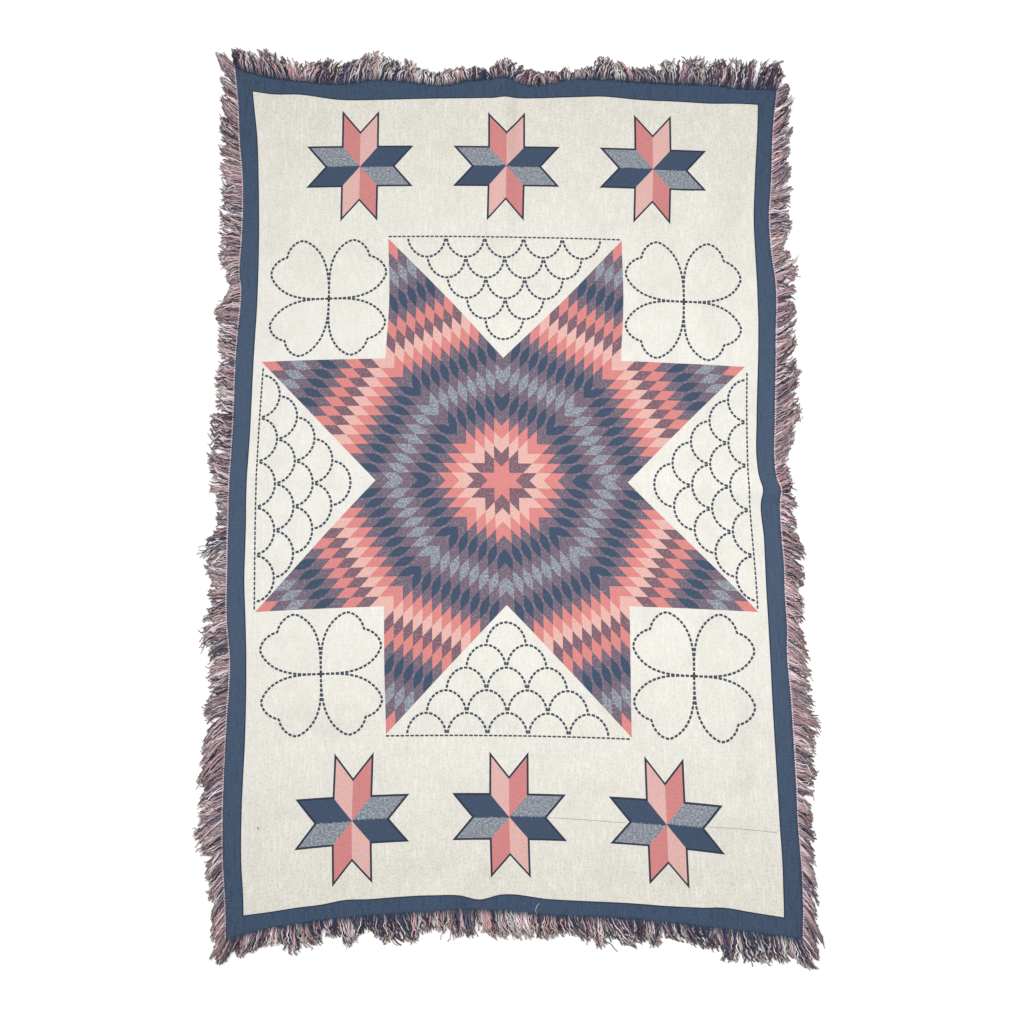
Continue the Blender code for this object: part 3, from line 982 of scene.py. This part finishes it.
def pads(dashes, sides=8, rise=0.0005):
    """Low domed pads: an outer ring on the cloth, a smaller raised ring and a crown.

    A ring's point is at (length / 2 * cos a ** 0.4, width / 2 * sin a ** 0.4), which is a
    rectangle with round corners.
    """
    a = (np.arange(sides) + 0.5) * 2 * np.pi / sides
    circle = np.stack([np.cos(a), np.sin(a)], axis=1)
    square = np.sign(circle) * abs(circle) ** PAD_SQUARENESS
    square = square * np.array([dashes.length, dashes.width]) / 2
    local = np.concatenate([square, square * PAD_CROWN, np.zeros((1, 2))])
    height = np.concatenate([np.full(sides, -PAD_SUNK), np.full(sides, rise * PAD_CROWN), [rise]])
    way = dashes.ways[:, None, :]
    across = np.stack([-way[..., 1], way[..., 0]], axis=-1)
    places = dashes.middles[:, None, :] + local[None, :, :1] * way + local[None, :, 1:] * across
    laid = laid_of(places.reshape(-1, 2))
    height = top_of(laid) + np.tile(height, len(dashes.middles))
    points = np.concatenate([laid, height[:, None]], axis=1)
    i = np.arange(sides)
    j = (i + 1) % sides
    walls = [[a, b, b + sides, a + sides] for a, b in zip(i, j)]
    crown = [[a + sides, b + sides, 2 * sides] for a, b in zip(i, j)]
    bottom = [list(i[::-1])]
    one = walls + crown + bottom
    step = 2 * sides + 1
    faces = [[int(corner + k * step) for corner in face]
             for k in range(len(dashes.middles)) for face in one]
    return points, faces


float_cotton = flecked_cotton("navy_floats", linear(56, 64, 79), linear(88, 99, 114))
for name, dashes in (("clover_floats", clover), ("shell_floats", shell), ("base_line_floats", base)):
    points, faces = pads(dashes)
    piece = new_piece(name, in_frame(points), faces, float_cotton)

# %% [markdown]
# ## Fringe
#
# The fringe is the cloth's own threads, cut and left loose: some 1,450 yarns on each long side.
# They lie in round-topped tufts. Neighbouring threads lean and curl almost together, a few strays
# cross them, and a layer of threads lies underneath, darkened with painted shade. Each yarn is a
# thin tube. Its middle line starts at the cloth's edge, runs out by its reach in a curl that grows
# towards the tip, rises over its neighbours and comes down to the floor. All the yarns of a side are
# worked out at once as arrays: yarns by steps by sides of the tube.

# %% Yarn palette
Yarn = namedtuple("Yarn", "colour side_share end_share")
YARNS = rows_of(Yarn, (
    (linear(72, 80, 106), 0.06, 0.28),
    (linear(104, 84, 98), 0.12, 0.20),
    (linear(120, 122, 142), 0.08, 0.06),
    (linear(178, 150, 160), 0.22, 0.08),
    (linear(220, 187, 190), 0.23, 0.08),
    (linear(238, 192, 188), 0.02, 0.07),
    (linear(243, 222, 224), 0.20, 0.10),
    (linear(255, 248, 244), 0.07, 0.14),
))
BROWN = linear(146, 126, 112)

# %% Measures of the fringe
# In metres.
YARN_RADIUS = 0.00125
YARN_PITCH = 0.00118
LOCK_WIDTH = 0.006
TUFT_PITCH = 0.034
SIDE_CURL = 0.0010
END_CURL = 0.0014
CURL_LENGTH = 0.0135
SWAY = 0.0030
SWAY_LENGTH = 0.028
PILE = 0.0055
UNDER_PILE = 0.0008
LEAST_PILE = 0.0020
CORNER_EASE = 0.06
END_ROOT_INSET = 0.006
# Counts: points along a yarn and round it, and one yarn in how many lies underneath.
YARN_STEPS = 20
YARN_SIDES = 3
UNDER_EVERY = 3
# How far yarns turn aside, as metres aside for each metre out.
TUFT_TURN = 0.22
LOCK_TURN = 0.14
YARN_TURN = 0.12
STRAY_TURN = 0.35
MOST_TURN = 0.6
# Shares of something else's size, light or number.
STRAYS = 0.10
UNDER_WIDTH = 1.8
# DEEP_SHADE, TUFT_LIGHT and TUFT_SHADE are painted shade and light in the yarns' colours.
DEEP_SHADE = 0.50
TUFT_LIGHT = 1.25
TUFT_SHADE = 0.45
DIP = 0.64
CREST = 0.46
GATHER = 0.32
TIP_TAPER = 0.25
STRAY_CURL = 1.8
MOST_OWN_TURN = 1.8
TUFT_JITTER = 0.38
# The least and the most of what is drawn at random, as shares too.
YARN_JITTER = (-0.5, 1.5)
TUFT_REACH = (0.80, 1.14)
UNDER_REACH = (0.76, 0.95)
YARN_REACH = (0.88, 1.05)
CURL_SPREAD = (0.4, 1.5)
CURL_PITCH = (0.75, 1.25)
RADIUS_SPREAD = (0.8, 1.15)


# %% Directions along the edge
def edge_frame(side, shares):
    """Points of the edge with unit vectors along it and out from it."""
    step = 1e-3
    at = side_points(side, shares)
    before, after = (side_points(side, np.clip(shares + way, 0, 1)) for way in (-step, step))
    along = after - before
    along /= np.linalg.norm(along, axis=-1)[:, None]
    out = np.stack([along[:, 1], -along[:, 0]], axis=-1)
    out *= side.outward if side.upright else -side.outward
    return at, along, out


# %% Middle lines of the yarns
def yarn_lines(side, random):
    """Middle lines of a side's yarns, as an array of yarns by steps by three, with their radii,
    the tuft that each belongs to, and how far it stands from the tuft's middle, from -1 to 1.

    With q from 0 at the root to 1 at the tip, a yarn runs out by reach * q and aside by
    reach * lean * q ** 1.2 + reach * bend * q ** 1.6. It sways about that line with its
    neighbours, and its curl is a helix that widens as q ** 0.5. In the middle of a tuft the yarns
    are longest, which rounds the tuft off. Every third yarn is a thick one that lies underneath.
    """
    stations = column(side.sections, "along")
    length = length_of(side)
    count = int(length / YARN_PITCH)
    under = np.arange(count) % UNDER_EVERY == 0
    shift_along = np.where(under, 0.5, random.uniform(*YARN_JITTER, count))
    shares = np.clip((np.arange(count) + shift_along) / count, 0.001, 0.999)
    at, along, out = edge_frame(side, shares)
    here = stations[0] + length * shares
    tufts = int(length / TUFT_PITCH)
    bounds = (np.arange(tufts + 1) + random.uniform(-TUFT_JITTER, TUFT_JITTER, tufts + 1)) / tufts
    tuft = np.clip(np.searchsorted(bounds, shares) - 1, 0, tufts - 1)
    from_middle = np.clip(2 * (shares - bounds[tuft]) / (bounds[tuft + 1] - bounds[tuft]) - 1, -1, 1)
    lock = (shares * length / LOCK_WIDTH).astype(int)
    locks = lock.max() + 1
    stray = (random.uniform(0, 1, count) < STRAYS) & ~under
    lean = np.interp(here, stations, column(side.sections, "lean"))
    bend = random.normal(0, TUFT_TURN, tufts)[tuft] * ~under + random.normal(0, LOCK_TURN, locks)[lock]
    own_turn = np.clip(random.normal(0, 1, count), -MOST_OWN_TURN, MOST_OWN_TURN)
    bend = bend + np.where(stray, STRAY_TURN, YARN_TURN) * own_turn
    to_corner = np.minimum(here - stations[0], stations[-1] - here)
    bend = np.clip(bend, -MOST_TURN, MOST_TURN) * np.clip(to_corner / CORNER_EASE, 0.2, 1.0)
    reaches = column(side.sections, "reach")
    tip = here + (lean + bend) * np.interp(here, stations, reaches)
    crown = DIP + CREST * np.sqrt(1 - 0.97 * from_middle**2)
    crown = crown * random.uniform(*TUFT_REACH, tufts)[tuft]
    reach = np.interp(tip, stations, reaches) * crown
    under_reach = random.uniform(*UNDER_REACH, count)
    reach = reach * np.where(under, under_reach, random.uniform(*YARN_REACH, count))
    to_middle = -from_middle * (bounds[tuft + 1] - bounds[tuft]) / 2 * length * GATHER * ~under
    q = np.linspace(0, 1, YARN_STEPS)[None, :]
    phase = random.uniform(0, 2 * np.pi, locks)[lock] + random.normal(0, 0.7, count)
    phase = np.where(stray, random.uniform(0, 2 * np.pi, count), phase)[:, None]
    turns = 2 * np.pi * (reach * np.sqrt(1 + lean**2) / CURL_LENGTH)[:, None] * q
    turns = turns * random.uniform(*CURL_PITCH, locks)[lock][:, None]
    curl = (SIDE_CURL if side.upright else END_CURL) * random.uniform(*CURL_SPREAD, (count, 1)) * q**0.5
    curl = curl * np.where(stray, STRAY_CURL, 1.0)[:, None]
    inset = np.zeros(count) + 0.001 if side.upright else random.uniform(0.001, END_ROOT_INSET, count)
    far = (reach + inset)[:, None] * q - inset[:, None] + curl * 0.5 * np.cos(turns + phase)
    sway = SWAY * random.normal(0, 1, locks)[lock][:, None] * q
    sway = sway * np.sin(2 * np.pi * reach[:, None] / SWAY_LENGTH * q + phase)
    aside = (reach * lean)[:, None] * q**1.2 + (reach * bend + to_middle)[:, None] * q**1.6
    aside = aside + sway + curl * np.sin(turns + phase)
    line = at[:, None] + out[:, None] * far[..., None] + along[:, None] * aside[..., None]
    root = lift_of(at) + CLOTH_THICKNESS * (0.5 if side.upright else 1.0)
    pile = np.where(under, UNDER_PILE, LEAST_PILE + PILE * random.uniform(0, 1, count))[:, None]
    height = root[:, None] * (1 - q) ** 2 + pile * np.sin(np.pi * q**0.7) ** 2
    height = height + YARN_RADIUS + curl * 0.5 * (1 + np.cos(turns + phase)) * ~under[:, None]
    radius = YARN_RADIUS * random.uniform(*RADIUS_SPREAD, (count, 1)) * (1 - TIP_TAPER * q**3)
    radius = radius * np.where(under, UNDER_WIDTH, 1.0)[:, None]
    return np.concatenate([line, height[..., None]], axis=-1), radius, tuft, from_middle


# %% Tubes round the middle lines
def tubes(lines, radius):
    """Closed tubes: at each step a ring of points square to the line, and a flat cap at each end."""
    ahead = np.gradient(lines, axis=1)
    ahead /= np.linalg.norm(ahead, axis=-1)[..., None]
    flat = np.cross(ahead, [0.0, 0.0, 1.0])
    flat /= np.linalg.norm(flat, axis=-1)[..., None]
    rise = np.cross(flat, ahead)
    a = np.arange(YARN_SIDES) * 2 * np.pi / YARN_SIDES
    ring = (flat[:, :, None] * np.cos(a)[:, None] + rise[:, :, None] * np.sin(a)[:, None])
    points = lines[:, :, None] + ring * radius[:, :, None, None]
    points[..., 2] = np.maximum(points[..., 2], 0.0)
    count, steps, sides = points.shape[:3]
    k = np.arange(sides)
    j = (k + 1) % sides
    first = np.arange(count)[:, None, None] * steps * sides + np.arange(steps - 1)[:, None] * sides
    walls = np.stack([first + j, first + k, first + k + sides, first + j + sides], axis=-1)
    start = np.arange(count)[:, None] * steps * sides
    caps = np.concatenate([start + k, start + (steps - 1) * sides + k[::-1]])
    return points, walls.reshape(-1, 4).tolist() + caps.tolist()


# %% The fringe's material
PLIES_PER_METRE = 260.0
PLY_RELIEF = 0.0004
yarn_cotton, tree, shader = new_cotton("fringe_cotton")
# The colour attribute holds each yarn's own colour with painted shade in it.
dyed = tree.nodes.new("ShaderNodeAttribute")
dyed.attribute_name = "dye_and_shade"
ply_map = tree.nodes.new("ShaderNodeUVMap")
ply_map.uv_map = "ply"
around, down = parts_of(tree, ply_map.outputs["UV"])
ply = ((around * 2.0 + down * PLIES_PER_METRE) * (2 * np.pi)).sine() * 0.5 + 0.5
# Painted shade: the grooves between the plies are painted darker.
shade = paint(tree, dyed.outputs["Color"], PLY_GROOVE_SHADE, ply.turned() * 0.22)
tree.links.new(shade, shader.inputs["Base Color"])
add_relief(tree, shader, ply, 0.5, PLY_RELIEF)


# %% A piece made of yarns
def new_yarns(name, lines, radius, dye_and_shade):
    """A piece of tubes along the lines, with a dye for each step and a map for the ply."""
    points, faces = tubes(lines, radius)
    piece = new_piece(name, in_frame(points.reshape(-1, 3)), faces, yarn_cotton)
    count, steps, sides = points.shape[:3]
    # The colour for each step is the yarn's own colour with painted shade in it.
    dye_and_shade = np.concatenate([dye_and_shade, np.ones((count, steps, 1))], axis=-1)
    set_attribute(piece.data, "dye_and_shade", "FLOAT_COLOR", np.repeat(dye_and_shade[:, :, None], sides, axis=2))
    runs = np.linalg.norm(np.diff(lines, axis=1), axis=-1).cumsum(axis=1)
    runs = np.concatenate([np.zeros((count, 1)), runs], axis=1)
    around = np.broadcast_to(abs(np.arange(sides) / sides * 2 - 1)[None, None, :], (count, steps, sides))
    down = np.broadcast_to(runs[:, :, None], (count, steps, sides))
    set_uv(piece.data, "ply", np.stack([around, down], axis=-1).reshape(-1, 2))
    print(name, "yarns:", count, "triangles:", (2 * (steps - 1) * sides + 2 * (sides - 2)) * count)
    return piece


# %% The four fringes
LIGHT_SPREAD = (0.85, 1.15)
SIDE_FAVOUR = 0.15
END_FAVOUR = 0.30
ROOT_RUN = 0.3
ROOT_NAVY = 0.9
TIP_START = 0.699
TIP_RUN = 0.3
TIP_BROWN = 0.55


def make_fringe(side, random):
    """One side's loose yarns, dyed at random in the proportions of the palette.

    A tuft has a favourite colour. Shade and light are painted into the colours: the lower a part
    of a yarn lies, and the nearer it is to the dip between two tufts, the darker it is painted, and
    the middle of a tuft is painted lighter. At the ends of the throw the first third of a yarn still
    has the border's navy in it, and the last third of any yarn is brownish.
    """
    lines, radius, tuft, from_middle = yarn_lines(side, random)
    count = len(lines)
    shares = np.array([yarn.side_share if side.upright else yarn.end_share for yarn in YARNS])
    picked = random.choice(len(YARNS), size=count, p=shares / shares.sum())
    favourite = random.choice(len(YARNS), size=tuft.max() + 1, p=shares / shares.sum())[tuft]
    favoured = random.uniform(0, 1, count) < (SIDE_FAVOUR if side.upright else END_FAVOUR)
    picked = np.where(favoured, favourite, picked)
    dye_and_shade = np.array([yarn.colour for yarn in YARNS])[picked] * random.uniform(*LIGHT_SPREAD, (count, 1))
    dye_and_shade = dye_and_shade * random.uniform(*LIGHT_SPREAD, tuft.max() + 1)[tuft][:, None]
    # Painted light and shade: a tuft's middle is painted lighter and its edges darker.
    dye_and_shade = dye_and_shade * (TUFT_LIGHT - TUFT_SHADE * from_middle**4)[:, None]
    # Painted shade: the lower a part of a yarn lies, the darker its colour is painted.
    open_to_light = np.clip(lines[..., 2:] / PILE, 0, 1)
    dye_and_shade = dye_and_shade[:, None, :] * (DEEP_SHADE + (1 - DEEP_SHADE) * open_to_light)
    q = np.linspace(0, 1, YARN_STEPS)[None, :, None]
    root = np.clip(1 - q / ROOT_RUN, 0, 1) * (0.0 if side.upright else ROOT_NAVY)
    dye_and_shade = dye_and_shade + (np.array(NAVY) - dye_and_shade) * root
    dye_and_shade = dye_and_shade + (np.array(BROWN) - dye_and_shade) * TIP_BROWN * np.clip((q - TIP_START) / TIP_RUN, 0, 1)
    piece = new_yarns("yarns_" + side.name, lines, radius, dye_and_shade)
    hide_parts("fringe_" + side.name)
    return piece


random = np.random.default_rng(5)
fringes = [make_fringe(side, random) for side in SIDES.values()]

# %% [markdown]
# Wear has left a few threads lying on the cloth: one pulled weft thread across the foot end, which
# shows in two stretches, a light bit of yarn on the border, a hair and a dark speck. They are
# tubes too, so the fringe's own function makes them.

# %% Threads on the cloth
Thread = namedtuple("Thread", "points radius colour")
THREADS = (
    Thread(((0.080, -0.645), (0.150, -0.649), (0.231, -0.6545)), 0.0004, linear(176, 168, 148)),
    Thread(((0.389, -0.662), (0.450, -0.666), (0.523, -0.6735)), 0.0004, linear(176, 168, 148)),
    Thread(((0.0668, -0.806), (0.0612, -0.812), (0.0590, -0.820), (0.0615, -0.8265)), 0.0007,
           linear(228, 230, 232)),
    Thread(((0.520, -0.176), (0.5265, -0.184), (0.528, -0.194)), 0.0004, linear(150, 160, 176)),
    Thread(((-0.4752, -0.6638), (-0.4730, -0.6660)), 0.0012, linear(84, 78, 74)),
)


def thread_line(thread, steps=12):
    """The thread's points, spread evenly and laid on the cloth."""
    points = np.array(thread.points)
    at = on_curve(points, np.linspace(0, 1, len(points)), np.linspace(0, 1, steps))
    return np.concatenate([at, (top_of(at) + thread.radius * 0.6)[:, None]], axis=1)


lines = np.stack([thread_line(thread) for thread in THREADS])
radius = np.array([[thread.radius] * lines.shape[1] for thread in THREADS])
dye_and_shade = np.array([[thread.colour] * lines.shape[1] for thread in THREADS])
threads = new_yarns("loose_threads", lines, radius, dye_and_shade)

# %% [markdown]
# ## Side stitching
#
# Along both long sides a row of pale loops holds the last weft threads. They show as a fine row
# of dots between the navy border and the fringe.

# %% The row of loops
LOOP_INSET = -0.0008
LOOP_PITCH = 0.0050
LOOP_LENGTH = 0.0046
LOOP_WIDTH = 0.0027
LOOP_RISE = 0.0015
loop_cotton = flecked_cotton("pale_loops", linear(246, 232, 238), linear(206, 188, 200))


def loop_dashes(side):
    """Small loops at an even pitch along the cloth's edge, set a little askew."""
    count = int(length_of(side) / LOOP_PITCH)
    at, along, out = edge_frame(side, (np.arange(count) + 0.5) / count)
    way = along * 0.75 + out * 0.66
    return at - out * LOOP_INSET, way / np.linalg.norm(way, axis=1)[:, None]


def laid_pads(middles, ways):
    """The same pads as the dashes have, set at laid places."""
    chart = chart_of(middles)
    tips = chart_of(middles + ways * LOOP_LENGTH / 2) - chart
    ways = tips / np.linalg.norm(tips, axis=1)[:, None]
    return pads(Dashes(chart, ways, LOOP_LENGTH, LOOP_WIDTH), rise=LOOP_RISE)


loops = [loop_dashes(SIDES[name]) for name in ("left", "right")]
points, faces = laid_pads(*(np.concatenate(both) for both in zip(*loops)))
side_loops = new_piece("side_loops", in_frame(points), faces, loop_cotton)
print("loops:", sum(len(middles) for middles, _ in loops))

# %% [markdown]
# ## Floor, light and camera
#
# The floor is plain white board, lit a little from behind so that it stays white. An even sky
# gives most of the light. A wide soft sun from the upper left lets folds and yarns throw faint
# shadows, and a square lamp above the middle makes the middle a shade brighter than the ends. The
# camera hangs almost straight over the throw and leans a little from the foot end.

# %% Floor
FLOOR_REACH = 6.0
FLOOR_DROP = 0.0002
floor_mesh = bpy.data.meshes.new("floor")
corners = [(x * FLOOR_REACH, y * FLOOR_REACH, 0) for x, y in ((-1, -1), (1, -1), (1, 1), (-1, 1))]
floor_mesh.from_pydata(corners, [], [(0, 1, 2, 3)])
floor = put_in("floor", floor_mesh)
floor.location.z = -FLOOR_DROP
floor_paint = bpy.data.materials.new("floor_paint")
floor_paint.use_nodes = True
floor_shader = floor_paint.node_tree.nodes["Principled BSDF"]
floor_shader.inputs["Base Color"].default_value = (0.96, 0.96, 0.96, 1)
floor_shader.inputs["Roughness"].default_value = 0.9
floor_shader.inputs["Emission Color"].default_value = (1, 1, 1, 1)
floor_shader.inputs["Emission Strength"].default_value = 0.20
floor_mesh.materials.append(floor_paint)

# %% Light
SKY = 0.54
SUN_SHARE = 0.28
LAMP_SHARE = 0.35
LAMP_HEIGHT = 1.3
SUN_HEIGHT = np.radians(45)
SUN_SPREAD = np.radians(25)
LAMP_SIZE = 0.8
LAMP_X = 0.1
world = bpy.data.worlds.new("studio")
world.use_nodes = True
world.node_tree.nodes["Background"].inputs["Color"].default_value = (1.0, 1.0, 1.0, 1)
world.node_tree.nodes["Background"].inputs["Strength"].default_value = SKY
bpy.context.scene.world = world

sun_data = bpy.data.lights.new("soft_sun", "SUN")
sun_data.energy = SUN_SHARE * np.pi / np.sin(SUN_HEIGHT)
sun_data.angle = SUN_SPREAD
sun = put_in("soft_sun", sun_data)
sun_from = Vector((-np.cos(SUN_HEIGHT) * 0.8, np.cos(SUN_HEIGHT) * 0.6, np.sin(SUN_HEIGHT)))
sun.rotation_euler = (-sun_from).to_track_quat("-Z", "Y").to_euler()
lamp_data = bpy.data.lights.new("middle_lamp", "AREA")
lamp_data.size = LAMP_SIZE
lamp_data.color = (1.0, 1.0, 1.02)
lamp_data.energy = LAMP_SHARE * np.pi**2 * LAMP_HEIGHT**2
lamp = put_in("middle_lamp", lamp_data)
lamp.location = (LAMP_X, 0.0, LAMP_HEIGHT)
print("sun strength:", round(sun_data.energy, 3), "lamp power:", round(lamp_data.energy, 2))
bpy.context.scene.view_settings.view_transform = "Standard"

# %% Camera
CAMERA_DISTANCE = 2.80
CAMERA_TILT = np.radians(6.0)
AIM = np.array([0.014, -0.054]) + shift
camera_data = bpy.data.cameras.new("camera")
camera_data.lens = 50
camera_data.sensor_width = 36
camera = put_in("camera", camera_data)
camera.location = (AIM[0], AIM[1] - CAMERA_DISTANCE * np.sin(CAMERA_TILT),
                   CAMERA_DISTANCE * np.cos(CAMERA_TILT))
camera.rotation_euler = (CAMERA_TILT, 0, 0)
bpy.context.scene.camera = camera
print("camera aims at:", np.round(AIM, 3))
